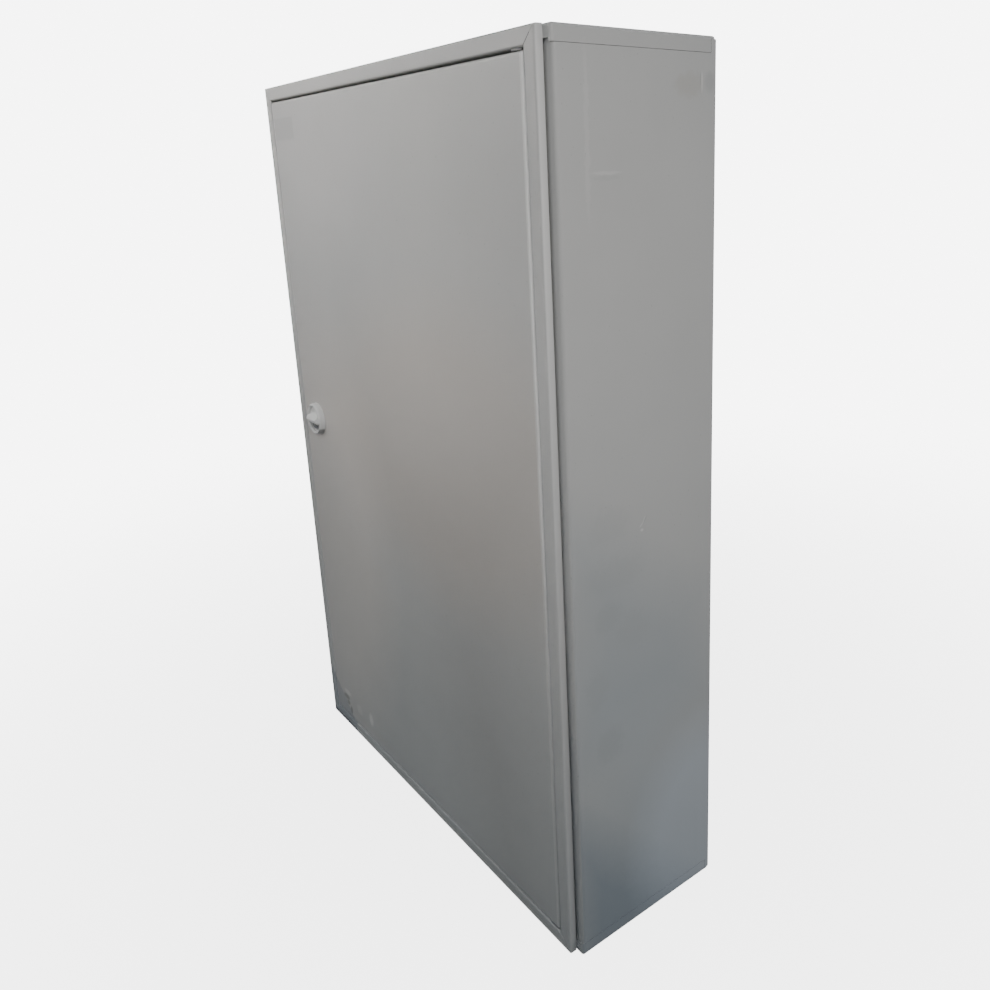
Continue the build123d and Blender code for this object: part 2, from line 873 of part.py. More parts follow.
def end_clamps():
    """Clamps at both ends of each row."""
    h = clamp_half_height
    shoulder = clamp_front - clamp_corner
    corners = [(-breaker_heel, -h), (shoulder, -h), (clamp_front, clamp_corner - h),
               (clamp_front, h - clamp_corner), (shoulder, h), (-breaker_heel, h)]
    section = make_face(Polyline(*corners, close=True)) - rail_seat()
    clamp = on_rail(section, clamp_width)
    offset_x = (clamp_width + module_pitch) / 2
    main_half = (main_switch_count - 1) / 2 * module_pitch
    row_end = first_breaker_x + (breaker_count - 1) * module_pitch
    places = [
        (main_switch_x - main_half - offset_x, upper_rail_level),
        (main_switch_x + main_half + offset_x, upper_rail_level),
        (first_breaker_x - offset_x, lower_rail_level),
        (row_end + offset_x, lower_rail_level),
    ]
    return group([Pos(x, 0, z) * clamp for x, z in places])


# Neutral and earth bars

def bar_post_places():
    x = bar_length / 2 - bar_post_inset
    return [(side * x, z) for z in (neutral_bar_level, earth_bar_level) for side in (-1, 1)]


def terminal_bar(level):
    """Square bar with a row of wire holes and clamping screws."""
    back = plate_front - bar_post_height
    front = back - bar_side
    bar = block(-bar_length / 2, bar_length / 2, front, back, level - bar_side / 2,
                level + bar_side / 2)
    for x in bar_hole_places():
        bar -= rod_z(x, (front + back) / 2, level - bar_side, level + bar_side, bar_hole_radius)
    for side in (-1, 1):
        bar -= rod_y(side * (bar_length / 2 - bar_post_inset), level, front - 1, back + 1,
                     rail_screw_radius + fixed_fit)
    return bar


def bar_hole_places():
    return [(step - (bar_hole_count - 1) / 2) * bar_hole_pitch for step in range(bar_hole_count)]


def neutral_bar():
    return terminal_bar(neutral_bar_level)


def earth_bar():
    return terminal_bar(earth_bar_level)


def bar_screws():
    """Hexagon heads of the clamping screws of both bars, one over each wire hole."""
    front = plate_front - bar_post_height - bar_side
    return group([
        hexagon_y(x, level, front - bar_screw_rise, front, bar_screw_flats)
        for level in (neutral_bar_level, earth_bar_level) for x in bar_hole_places()
    ])


def bar_posts(level):
    """Two square posts between the plate and a bar."""
    half = bar_post_side / 2
    return group([
        block(x - half, x + half, plate_front - bar_post_height, plate_front, z - half, z + half)
        - rod_y(x, z, plate_front - bar_post_height - 1, plate_front + 1,
                rail_screw_radius + fixed_fit)
        for x, z in bar_post_places() if z == level
    ])


def neutral_posts():
    return bar_posts(neutral_bar_level)


def earth_posts():
    return bar_posts(earth_bar_level)


def bar_post_screws():
    front = plate_front - bar_post_height - bar_side
    length = plate_front + plate_sheet + bar_post_screw_end - front
    return group([
        screw(x, z, front, rail_screw_radius, length, rail_screw_head, rail_screw_head_height)
        for x, z in bar_post_places()
    ])


# Earth studs

def earth_stud():
    return rod_y(earth_stud_x, earth_stud_level, back_inner, back_inner - earth_stud_length,
                 earth_stud_radius)


def earth_nut():
    seat = back_inner - plate_sheet
    nut = hexagon_y(earth_stud_x, earth_stud_level, seat - earth_nut_height, back_inner,
                    earth_nut_flats)
    return nut - rod_y(earth_stud_x, earth_stud_level, 0, seat - earth_nut_height - 1,
                       earth_stud_radius + fixed_fit)


# One file for each sub-part

sub_parts = [
    body_wrap, top_cap, bottom_cap, frame_top, frame_bottom, frame_left, frame_right,
    frame_brackets, frame_screws, upper_hinge_plate, lower_hinge_plate, upper_hinge_pin,
    lower_hinge_pin, door_panel, door_stiffener_upper, door_stiffener_lower, door_gasket,
    door_earth_stud, latch_bezel, latch_nut, latch_knob, latch_spindle, latch_cam, cam_nut,
    gland_gasket, gland_plate, gland_studs, gland_nuts, mounting_plate, plate_studs,
    plate_spacers, plate_nuts, upper_rail, lower_rail, rail_screws, main_switch_housing,
    main_switch_lever, terminal_screws, end_clamps, neutral_bar, earth_bar, neutral_posts,
    earth_posts, bar_screws, bar_post_screws, earth_stud, earth_nut,
]

os.makedirs("parts", exist_ok=True)
for make in sub_parts:
    export_step(make(), f"parts/{make.__name__}.step")
for index in range(breaker_count):
    place = breaker_place(index)
    export_step(place * breaker_housing(1, lever_width), f"parts/breaker_{index + 1}_housing.step")
    export_step(place * breaker_lever(lever_width), f"parts/breaker_{index + 1}_lever.step")
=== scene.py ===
import math

import bpy
from mathutils import Matrix, Vector


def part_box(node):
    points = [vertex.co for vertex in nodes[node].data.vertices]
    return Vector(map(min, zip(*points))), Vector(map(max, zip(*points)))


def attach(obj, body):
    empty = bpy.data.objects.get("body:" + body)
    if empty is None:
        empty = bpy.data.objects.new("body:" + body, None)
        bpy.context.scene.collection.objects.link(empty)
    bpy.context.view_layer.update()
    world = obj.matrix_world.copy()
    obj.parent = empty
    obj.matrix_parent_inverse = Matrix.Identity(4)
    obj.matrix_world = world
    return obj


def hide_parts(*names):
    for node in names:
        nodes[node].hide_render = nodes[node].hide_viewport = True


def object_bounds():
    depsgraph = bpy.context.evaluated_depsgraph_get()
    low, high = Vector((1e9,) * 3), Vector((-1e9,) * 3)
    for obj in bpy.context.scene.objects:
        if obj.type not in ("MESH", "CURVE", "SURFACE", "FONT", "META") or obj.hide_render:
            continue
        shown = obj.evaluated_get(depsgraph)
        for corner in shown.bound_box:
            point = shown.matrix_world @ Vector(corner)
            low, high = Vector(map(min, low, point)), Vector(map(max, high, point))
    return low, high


# The board as it stands on the studio floor: a folded sheet-steel case, one inset
# door with a dished wing latch, and the switchgear on its mounting plate inside.
# Metres, +Z up, the door faces -Y, the origin is the centre of the wall face.
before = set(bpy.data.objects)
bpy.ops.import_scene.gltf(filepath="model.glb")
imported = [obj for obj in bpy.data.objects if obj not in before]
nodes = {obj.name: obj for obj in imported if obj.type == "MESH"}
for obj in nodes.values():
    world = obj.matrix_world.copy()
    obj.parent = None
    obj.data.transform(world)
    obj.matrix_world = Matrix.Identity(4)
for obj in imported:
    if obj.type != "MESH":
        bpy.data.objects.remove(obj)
cad_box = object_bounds()
bpy.ops.object.select_all(action="DESELECT")


# Studio and camera
# The photograph looks down on the right-hand front corner from close by, with the
# camera tipped a little to one side. Its place was worked out from the case's corners.
camera_turn = math.radians(52.078)
camera_rise = math.radians(15.088)
camera_tip = math.radians(-1.952)
camera_place = (0.7394, -0.5362, 0.2824)
away = Vector((math.sin(camera_turn) * math.cos(camera_rise),
               -math.cos(camera_turn) * math.cos(camera_rise),
               math.sin(camera_rise)))
level = Vector((math.cos(camera_turn), math.sin(camera_turn), 0.0))
upward = away.cross(level)
camera_right = level * math.cos(camera_tip) + upward * math.sin(camera_tip)
camera_up = upward * math.cos(camera_tip) - level * math.sin(camera_tip)
camera_data = bpy.data.cameras.new("camera")
camera_data.sensor_width = 36.0
camera_data.lens = 32.33
camera_data.shift_x = -0.0730
camera_data.shift_y = -0.0872
camera_data.clip_start = 0.01
camera = bpy.data.objects.new("camera", camera_data)
camera.matrix_world = Matrix.Translation(camera_place) @ Matrix(
    (camera_right, camera_up, away)).transposed().to_4x4()
bpy.context.scene.collection.objects.link(camera)
bpy.context.scene.camera = camera


# Floor and lights
# A wide pale studio floor that fades into a white backdrop. What it gives back to the
# case is kept low, so the case darkens downwards under two soft boxes, one over each
# seen face, and four wide fills all round.
floor_level = cad_box[0][2]
bpy.ops.mesh.primitive_plane_add(size=60.0, location=(0.0, 0.0, floor_level))
floor = bpy.context.object
floor.name = "studio_floor"
floor_paint = bpy.data.materials.new("pale_floor")
floor_paint.use_nodes = True
floor_tree = floor_paint.node_tree
floor_shader = floor_tree.nodes["Principled BSDF"]
floor_shader.inputs["Roughness"].default_value = 0.9
ray_kind = floor_tree.nodes.new("ShaderNodeLightPath")
floor_tone = floor_tree.nodes.new("ShaderNodeMix")
floor_tone.data_type = "RGBA"
floor_tone.inputs["A"].default_value = (0.14, 0.15, 0.16, 1.0)
floor_tone.inputs["B"].default_value = (0.85, 0.85, 0.85, 1.0)
floor_tree.links.new(ray_kind.outputs["Is Camera Ray"], floor_tone.inputs["Factor"])
floor_tree.links.new(floor_tone.outputs["Result"], floor_shader.inputs["Base Color"])
floor_place = floor_tree.nodes.new("ShaderNodeTexCoord")
floor_reach = floor_tree.nodes.new("ShaderNodeVectorMath")
floor_reach.operation = "LENGTH"
floor_tree.links.new(floor_place.outputs["Object"], floor_reach.inputs[0])
fade = floor_tree.nodes.new("ShaderNodeMapRange")
fade.interpolation_type = "SMOOTHSTEP"
for socket, value in (("From Min", 0.1), ("From Max", 1.6), ("To Min", 0.60), ("To Max", 1.0)):
    fade.inputs[socket].default_value = value
floor_tree.links.new(floor_reach.outputs["Value"], fade.inputs["Value"])
seen_fade = floor_tree.nodes.new("ShaderNodeMath")
seen_fade.operation = "MULTIPLY"
floor_tree.links.new(fade.outputs["Result"], seen_fade.inputs[0])
floor_tree.links.new(ray_kind.outputs["Is Camera Ray"], seen_fade.inputs[1])
backdrop_strength = 7.0
white_end = floor_tree.nodes.new("ShaderNodeEmission")
white_end.inputs["Strength"].default_value = backdrop_strength
fade_out = floor_tree.nodes.new("ShaderNodeMixShader")
floor_tree.links.new(seen_fade.outputs["Value"], fade_out.inputs["Fac"])
floor_tree.links.new(floor_shader.outputs["BSDF"], fade_out.inputs[1])
floor_tree.links.new(white_end.outputs["Emission"], fade_out.inputs[2])
floor_surface = floor_tree.nodes["Material Output"].inputs["Surface"]
floor_tree.links.new(fade_out.outputs["Shader"], floor_surface)
floor.data.materials.append(floor_paint)

world = bpy.data.worlds.new("studio")
world.use_nodes = True
world_tree = world.node_tree
room_light = world_tree.nodes["Background"]
room_light.inputs["Color"].default_value = (0.72, 0.89, 1.0, 1.0)
room_light.inputs["Strength"].default_value = 0.27
white_wall = world_tree.nodes.new("ShaderNodeBackground")
white_wall.inputs["Color"].default_value = (1.0, 1.0, 1.0, 1.0)
white_wall.inputs["Strength"].default_value = backdrop_strength
wall_seen = world_tree.nodes.new("ShaderNodeMixShader")
world_ray = world_tree.nodes.new("ShaderNodeLightPath")
world_tree.links.new(world_ray.outputs["Is Camera Ray"], wall_seen.inputs["Fac"])
world_tree.links.new(room_light.outputs["Background"], wall_seen.inputs[1])
world_tree.links.new(white_wall.outputs["Background"], wall_seen.inputs[2])
world_surface = world_tree.nodes["World Output"].inputs["Surface"]
world_tree.links.new(wall_seen.outputs["Shader"], world_surface)
bpy.context.scene.world = world


def soft_light(name, place, target, width, power, colour, spread=180.0):
    """Square lamp of a width and a power in watts, aimed at a target, with spread in degrees."""
    lamp = bpy.data.lights.new(name, "AREA")
    lamp.size = width
    lamp.energy = power
    lamp.color = colour
    lamp.spread = math.radians(spread)
    holder = bpy.data.objects.new(name, lamp)
    holder.location = place
    aim = Vector(target) - Vector(place)
    holder.rotation_euler = aim.to_track_quat("-Z", "Y").to_euler()
    holder.visible_camera = False
    bpy.context.scene.collection.objects.link(holder)


left_tone = (1.0, 0.935, 0.885)
right_tone = (1.0, 0.945, 0.91)
white = (1.0, 1.0, 1.0)
soft_light("left_box", (-1.0, -1.1, 0.8), (-0.15, -0.165, 0.33), 0.4, 0.86, left_tone, 30.0)
soft_light("right_box", (1.45, -0.68, 0.95), (0.25, -0.14, 0.24), 0.6, 1.16, right_tone, 42.0)
soft_light("front_fill", (-0.5, -1.7, 0.1), (0.0, -0.165, -0.1), 1.4, 8.6, left_tone)
soft_light("rear_fill", (1.6, 0.5, 0.2), (0.25, 0.0, 0.0), 0.8, 5.4, right_tone)
soft_light("left_fill", (-1.6, 0.4, 0.0), (-0.25, -0.05, -0.1), 0.9, 4.0, white)
soft_light("back_fill", (-0.7, 1.7, 0.7), (0.0, 0.0, 0.0), 1.4, 13.0, white)


# Powder-coated case
# Wrap, caps and gland plate are folded from 1.5 mm sheet steel under one light grey
# powder coat. The coat has a fine orange peel, cloudy tone and a few old marks, with
# painted shade towards the foot, on the right side and on the front flanges.
def new_finish(name, **values):
    """Material with its node tree and shader; values are sockets of the shader, by name."""
    finish = bpy.data.materials.new(name)
    finish.use_nodes = True
    tree = finish.node_tree
    shader = tree.nodes["Principled BSDF"]
    for socket, value in values.items():
        shader.inputs[socket.replace("_", " ")].default_value = value
    return finish, tree, shader


def place_in(tree):
    """Place on the piece itself, so a pattern stays where it is when the piece moves."""
    return tree.nodes.new("ShaderNodeTexCoord").outputs["Object"]


def noise(tree, scale, detail, stretch=(1.0, 1.0, 1.0)):
    """Cloudy pattern from 0 to 1, coarser along an axis where stretch is under 1."""
    spread = tree.nodes.new("ShaderNodeMapping")
    spread.inputs["Scale"].default_value = stretch
    tree.links.new(place_in(tree), spread.inputs["Vector"])
    cloud = tree.nodes.new("ShaderNodeTexNoise")
    cloud.inputs["Scale"].default_value = scale
    cloud.inputs["Detail"].default_value = detail
    tree.links.new(spread.outputs["Vector"], cloud.inputs["Vector"])
    return cloud.outputs["Fac"]


def shades(tree, source, low, low_colour, high, high_colour):
    """Colour that runs from one shade to another as the source goes from low to high."""
    ramp = tree.nodes.new("ShaderNodeValToRGB")
    tree.links.new(source, ramp.inputs["Fac"])
    for element, place, colour in zip(ramp.color_ramp.elements, (low, high),
                                      (low_colour, high_colour)):
        element.position = place
        element.color = (*colour, 1.0)
    return ramp.outputs["Color"]


def levels(tree, source, low, high, low_value, high_value):
    """Value that runs from low_value to high_value as the source goes from low to high."""
    span = tree.nodes.new("ShaderNodeMapRange")
    for socket, value in (("From Min", low), ("From Max", high),
                          ("To Min", low_value), ("To Max", high_value)):
        span.inputs[socket].default_value = value
    tree.links.new(source, span.inputs["Value"])
    return span.outputs["Result"]


def blend_in(tree, share, below, above):
    """Colour below, covered by the colour above to the given share."""
    mix = tree.nodes.new("ShaderNodeMix")
    mix.data_type = "RGBA"
    tree.links.new(share, mix.inputs["Factor"])
    tree.links.new(below, mix.inputs["A"])
    mix.inputs["B"].default_value = (*above, 1.0)
    return mix.outputs["Result"]


def bumps(tree, shader, *layers):
    """Relief in layers, each a pattern, its strength and its height in metres."""
    below = None
    for source, strength, distance in layers:
        bump = tree.nodes.new("ShaderNodeBump")
        bump.inputs["Strength"].default_value = strength
        bump.inputs["Distance"].default_value = distance
        tree.links.new(source, bump.inputs["Height"])
        if below is not None:
            tree.links.new(below, bump.inputs["Normal"])
        below = bump.outputs["Normal"]
    tree.links.new(below, shader.inputs["Normal"])


def wandering_place(tree, ragged):
    """Object place shifted by up to half of ragged either way, to fray a mark's outline."""
    wander = tree.nodes.new("ShaderNodeTexNoise")
    wander.inputs["Scale"].default_value = 140.0
    wander.inputs["Detail"].default_value = 6.0
    wander.inputs["Roughness"].default_value = 0.7
    tree.links.new(place_in(tree), wander.inputs["Vector"])
    centred = tree.nodes.new("ShaderNodeVectorMath")
    centred.operation = "SUBTRACT"
    tree.links.new(wander.outputs["Color"], centred.inputs[0])
    centred.inputs[1].default_value = (0.5, 0.5, 0.5)
    shift = tree.nodes.new("ShaderNodeVectorMath")
    shift.operation = "MULTIPLY_ADD"
    tree.links.new(centred.outputs["Vector"], shift.inputs[0])
    shift.inputs[1].default_value = (ragged, ragged, ragged)
    tree.links.new(place_in(tree), shift.inputs[2])
    return shift.outputs["Vector"]


def mark_share(tree, centre, reach, turn, ragged, strength):
    """How far a mark covers the coat: full inside its centre, gone at its reach."""
    local = tree.nodes.new("ShaderNodeMapping")
    local.vector_type = "TEXTURE"
    local.inputs["Location"].default_value = centre
    local.inputs["Rotation"].default_value = turn
    local.inputs["Scale"].default_value = reach
    tree.links.new(wandering_place(tree, ragged), local.inputs["Vector"])
    ball = tree.nodes.new("ShaderNodeTexGradient")
    ball.gradient_type = "SPHERICAL"
    tree.links.new(local.outputs["Vector"], ball.inputs["Vector"])
    return levels(tree, ball.outputs["Fac"], 0.0, 0.45, 0.0, strength)


def patch_share(tree, axis, corners, ragged, soft, strength):
    """How far a straight-sided patch covers a wall; corners run clockwise in the axis and Z."""
    place = wandering_place(tree, ragged)
    least = None
    for (x0, z0), (x1, z1) in zip(corners, corners[1:] + corners[:1]):
        length = math.hypot(x1 - x0, z1 - z0)
        inward = [0.0, 0.0, -(x1 - x0) / length]
        inward[axis] = (z1 - z0) / length
        depth = tree.nodes.new("ShaderNodeVectorMath")
        depth.operation = "DOT_PRODUCT"
        tree.links.new(place, depth.inputs[0])
        depth.inputs[1].default_value = inward
        within = tree.nodes.new("ShaderNodeMath")
        within.operation = "SUBTRACT"
        tree.links.new(depth.outputs["Value"], within.inputs[0])
        within.inputs[1].default_value = x0 * inward[axis] + z0 * inward[2]
        if least is None:
            least = within.outputs["Value"]
        else:
            nearest = tree.nodes.new("ShaderNodeMath")
            nearest.operation = "MINIMUM"
            tree.links.new(least, nearest.inputs[0])
            tree.links.new(within.outputs["Value"], nearest.inputs[1])
            least = nearest.outputs["Value"]
    return levels(tree, least, 0.0, soft, 0.0, strength)


coat_tone = (0.425, 0.430, 0.425)
foot_level, unshaded_level = -0.375, -0.12


def tinted(tone, red, green, blue):
    """Tone with its red, green and blue scaled."""
    return (tone[0] * red, tone[1] * green, tone[2] * blue)


def powder_coat(name, tone, foot_shade):
    """Coat with orange peel, clouds, streaks and specks, and painted shade that darkens it towards the
    foot.
    """
    finish, tree, shader = new_finish(name, Roughness=0.42)
    light = tuple(min(1.0, c * 1.03) for c in tone)
    dark = tuple(c * 0.955 for c in tone)
    colour = shades(tree, noise(tree, 5.0, 5.0), 0.30, dark, 0.70, light)
    height = tree.nodes.new("ShaderNodeSeparateXYZ")
    tree.links.new(place_in(tree), height.inputs["Vector"])
    # Painted shade: the coat darkens and turns bluer from the unshaded level down to the foot.
    foot_shade_share = levels(tree, height.outputs["Z"], foot_level, unshaded_level, foot_shade, 0.0)
    colour = blend_in(tree, foot_shade_share, colour, tinted(tone, 0.50, 0.60, 0.70))
    streaks = levels(tree, noise(tree, 9.0, 6.0, (1.0, 1.0, 0.18)), 0.56, 0.76, 0.0, 0.16)
    colour = blend_in(tree, streaks, colour, tuple(c * 0.78 for c in tone))
    specks = levels(tree, noise(tree, 420.0, 1.0), 0.745, 0.77, 0.0, 0.35)
    colour = blend_in(tree, specks, colour, tuple(c * 0.55 for c in tone))
    tree.links.new(colour, shader.inputs["Base Color"])
    tree.links.new(levels(tree, noise(tree, 13.0, 4.0), 0.3, 0.7, 0.37, 0.49),
                   shader.inputs["Roughness"])
    bumps(tree, shader, (noise(tree, 4.0, 1.0), 0.20, 0.004),
          (noise(tree, 700.0, 2.0), 0.10, 0.0003))
    return finish


def lay_over(finish, share_of, marks, skin=None):
    """Lay marks over a finish. A skin (axis, start, end) keeps them off a sheet's inner face."""
    tree = finish.node_tree
    base = tree.nodes["Principled BSDF"].inputs["Base Color"]
    for *form, stain in marks:
        share = share_of(tree, *form)
        if skin:
            axis, start, end = skin
            place = tree.nodes.new("ShaderNodeSeparateXYZ")
            tree.links.new(place_in(tree), place.inputs["Vector"])
            outside = tree.nodes.new("ShaderNodeMath")
            outside.operation = "MULTIPLY"
            tree.links.new(share, outside.inputs[0])
            tree.links.new(levels(tree, place.outputs[axis], start, end, 0.0, 1.0),
                           outside.inputs[1])
            share = outside.outputs["Value"]
        colour = blend_in(tree, share, base.links[0].from_socket, stain)
        tree.links.new(colour, base)


def give(finish, *names):
    """Put a finish on CAD nodes."""
    for name in names:
        node = nodes[name]
        node.data.materials.clear()
        node.data.materials.append(finish)


case_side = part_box("body_wrap")[1][0]
unturned = (0.0, 0.0, 0.0)
pale_scratch_and_highlight = (0.66, 0.66, 0.65)
brown_stain = (0.30, 0.27, 0.22)
dark_rub_and_shade = (0.27, 0.28, 0.28)
scratch_lean = (math.radians(-32.0), 0.0, 0.0)
hook_lean = (math.radians(-48.0), 0.0, 0.0)
# Each mark: its centre, its reach along X, Y and Z, its turn, how ragged it is, its
# strength and its colour. First the curved scratch, then a dent near the rear edge drawn
# as a painted highlight line with a painted shade line and a dark soft patch beside it,
# and a brown stain, the finger smudges, a painted pool of light on the lower rear corner,
# and a crease drawn as pale painted highlight lines with a painted shade line under them.
case_marks = (
    ((case_side, -0.0805, 0.0085), (0.004, 0.0009, 0.0042), scratch_lean, 0.0, 0.40, pale_scratch_and_highlight),
    ((case_side, -0.0795, 0.0085), (0.004, 0.0007, 0.0042), scratch_lean, 0.0, 0.45, dark_rub_and_shade),
    ((case_side, -0.0838, 0.0045), (0.004, 0.0008, 0.0030), hook_lean, 0.0, 0.40, pale_scratch_and_highlight),
    ((case_side, -0.0830, 0.0001), (0.004, 0.0020, 0.0016), unturned, 0.0, 0.5, pale_scratch_and_highlight),
    # Painted highlight and painted shade lines of a dent.
    ((case_side, -0.0165, 0.3415), (0.004, 0.0010, 0.0090), unturned, 0.0, 0.45, pale_scratch_and_highlight),
    ((case_side, -0.0182, 0.3440), (0.004, 0.0008, 0.0060), unturned, 0.0, 0.45, dark_rub_and_shade),
    ((case_side, -0.0080, 0.3420), (0.010, 0.0070, 0.0090), unturned, 0.003, 0.36, dark_rub_and_shade),
    ((case_side, -0.0300, 0.3390), (0.010, 0.0180, 0.0110), unturned, 0.016, 0.20, brown_stain),
    ((case_side, -0.1190, 0.0140), (0.010, 0.0270, 0.0200), unturned, 0.030, 0.10, dark_rub_and_shade),
    ((case_side, -0.1150, -0.0290), (0.010, 0.0400, 0.0180), unturned, 0.030, 0.10, dark_rub_and_shade),
    ((case_side, -0.1209, -0.0645), (0.010, 0.0180, 0.0150), unturned, 0.024, 0.12, dark_rub_and_shade),
    ((case_side, -0.0955, -0.0840), (0.010, 0.0230, 0.0210), unturned, 0.030, 0.09, dark_rub_and_shade),
    ((case_side, -0.1343, -0.1240), (0.010, 0.0150, 0.0250), unturned, 0.024, 0.12, dark_rub_and_shade),
    ((case_side, -0.1220, -0.1810), (0.010, 0.0180, 0.0210), unturned, 0.024, 0.15, dark_rub_and_shade),
    # Painted pool of light on the lower rear corner.
    ((case_side, -0.0100, -0.3150), (0.010, 0.1000, 0.1300), unturned, 0.010, 0.34, (0.55, 0.62, 0.71)),
    # Painted highlight lines and a painted shade line of a crease.
    ((case_side, -0.1300, 0.3060), (0.010, 0.0030, 0.0700), unturned, 0.010, 0.13, pale_scratch_and_highlight),
    ((case_side, -0.1130, 0.2787), (0.004, 0.0170, 0.0016), unturned, 0.004, 0.22, pale_scratch_and_highlight),
    ((case_side, -0.1130, 0.2752), (0.004, 0.0170, 0.0020), unturned, 0.004, 0.16, dark_rub_and_shade),
)
# Each patch: 1 for a patch laid out in depth and height, its corners, how ragged and how
# soft its edges are, its strength and its colour. All four are painted shade: a cool band
# and a cool lower part across the right side, a darker lower front corner, and darker
# front flanges beside the frame.
painted_side_band = (1, ((-0.190, 0.085), (0.015, -0.065), (0.015, -0.200), (-0.190, -0.220)),
             0.016, 0.070, 0.34, (0.245, 0.290, 0.325))
painted_low_cool = (1, ((-0.190, -0.060), (0.015, -0.110), (0.015, -0.450), (-0.190, -0.450)),
            0.010, 0.120, 0.50, (0.385, 0.425, 0.455))
low_shade = (1, ((-0.190, -0.180), (0.015, -0.385), (0.015, -0.420), (-0.190, -0.420)),
             0.012, 0.055, 0.58, (0.170, 0.215, 0.265))
flange_painted_shade = (1, ((-0.230, -0.160), (-0.1552, -0.160), (-0.1552, -0.420), (-0.230, -0.420)),
               0.0, 0.0060, 0.78, (0.150, 0.180, 0.210))
case_skin = (0, 0.2490, 0.2496)
case_coat = powder_coat("grey_powder_coat", coat_tone, foot_shade=0.10)
# Painted shade on the right side, and below it painted shade on the front flanges beside the frame.
lay_over(case_coat, patch_share, (painted_side_band, painted_low_cool, low_shade), case_skin)
lay_over(case_coat, patch_share, (flange_painted_shade,))
lay_over(case_coat, mark_share, case_marks, case_skin)
give(case_coat, "body_wrap", "top_cap", "bottom_cap")
inner_coat = powder_coat("inner_powder_coat", coat_tone, foot_shade=0.0)
give(inner_coat, "frame_brackets", "gland_plate")


# Front frame
# Four mitred strips of the same coated sheet, welded behind and standing 7 mm proud of
# the case. Their return edges carry a painted highlight, fainter towards the floor.
blue_scuff = (0.24, 0.26, 0.29)
near_black = (0.03, 0.035, 0.04)
# Each patch: 0 for a patch laid out in width and height, then as on the case.
scuff = (0, ((-0.245, -0.300), (-0.231, -0.312), (-0.184, -0.329), (-0.175, -0.346),
             (-0.173, -0.380), (-0.245, -0.380)), 0.006, 0.0022, 0.68, blue_scuff)
# Painted reflection: the lower right of the front is darker, on the frame and the door alike.
painted_low_reflection = (0, ((-0.110, 0.046), (0.260, 0.128), (0.260, -0.450), (0.090, -0.450)),
                  0.010, 0.120, 0.42, (0.290, 0.287, 0.285))
frame_patches = (
    painted_low_reflection,
    scuff,
    (0, ((-0.242, -0.322), (-0.2385, -0.330), (-0.2365, -0.376), (-0.242, -0.376)),
     0.006, 0.0020, 0.75, near_black),
    (0, ((-0.238, -0.3675), (-0.176, -0.3690), (-0.174, -0.376), (-0.238, -0.376)),
     0.007, 0.0025, 0.75, near_black),
    (0, ((0.2272, 0.3618), (0.2355, 0.3701), (0.2361, 0.3695), (0.2278, 0.3612)),
     0.0, 0.0003, 0.85, near_black),
    (0, ((0.2350, 0.3693), (0.2400, 0.3743), (0.2404, 0.3739), (0.2354, 0.3689)),
     0.0, 0.0003, 0.45, near_black),
)
highlight_blend = 0.0006
highlight_low_z, highlight_high_z = -0.08, 0.20
highlight_low_share = 0.34


def paint_edge_highlight(finish, inner_x, tone):
    """Painted highlight: lighten the upright edges outside inner_x on either side, less so towards the
    floor.
    """
    tree = finish.node_tree
    base = tree.nodes["Principled BSDF"].inputs["Base Color"]
    place = tree.nodes.new("ShaderNodeSeparateXYZ")
    tree.links.new(place_in(tree), place.inputs["Vector"])
    across = tree.nodes.new("ShaderNodeMath")
    across.operation = "ABSOLUTE"
    tree.links.new(place.outputs["X"], across.inputs[0])
    share = tree.nodes.new("ShaderNodeMath")
    share.operation = "MULTIPLY"
    tree.links.new(levels(tree, across.outputs["Value"], inner_x, inner_x + highlight_blend, 0.0, 0.9),
                   share.inputs[0])
    tree.links.new(levels(tree, place.outputs["Z"], highlight_low_z, highlight_high_z, highlight_low_share, 1.0),
                   share.inputs[1])
    highlighted = blend_in(tree, share.outputs["Value"], base.links[0].from_socket, tone)
    tree.links.new(highlighted, base)


frame_coat = powder_coat("frame_powder_coat", coat_tone, foot_shade=0.16)
lay_over(frame_coat, patch_share, frame_patches)
# Painted highlight on the frame's upright return edges.
frame_return_x = 0.2404
paint_edge_highlight(frame_coat, frame_return_x, tinted(coat_tone, 1.42, 1.42, 1.42))
give(frame_coat, "frame_top", "frame_bottom", "frame_left", "frame_right")


# Frame screws
# Four zinc-plated cross-head machine screws, put in from inside the case through the
# brackets. Their ends finish level with the seat of the frame.
def zinc_plate(name, tone=(0.60, 0.61, 0.60), thread=None):
    """Bright plated steel, ringed by a thread along an axis where one is named."""
    finish, tree, shader = new_finish(name, Metallic=1.0)
    yellowed = tinted(tone, 1.10, 1.02, 0.84)
    colour = shades(tree, noise(tree, 60.0, 4.0), 0.35, tone, 0.75, yellowed)
    tree.links.new(colour, shader.inputs["Base Color"])
    tree.links.new(levels(tree, noise(tree, 200.0, 3.0), 0.3, 0.7, 0.26, 0.44),
                   shader.inputs["Roughness"])
    layers = [(noise(tree, 1500.0, 2.0), 0.10, 0.0001)]
    if thread:
        turns = tree.nodes.new("ShaderNodeTexWave")
        turns.bands_direction = thread
        turns.inputs["Scale"].default_value = 320.0
        tree.links.new(place_in(tree), turns.inputs["Vector"])
        layers.append((turns.outputs["Fac"], 0.8, 0.0004))
    bumps(tree, shader, *layers)
    return finish


def finish_piece(piece, finish, body, slot, *replaced):
    """Put a modelled piece at the origin with its place in its mesh, and bind it to a body."""
    bpy.ops.object.select_all(action="DESELECT")
    piece.select_set(True)
    bpy.context.view_layer.objects.active = piece
    bpy.ops.object.transform_apply(location=True, rotation=True, scale=True)
    piece.data.materials.clear()
    piece.data.materials.append(finish)
    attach(piece, body)
    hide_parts(*replaced)


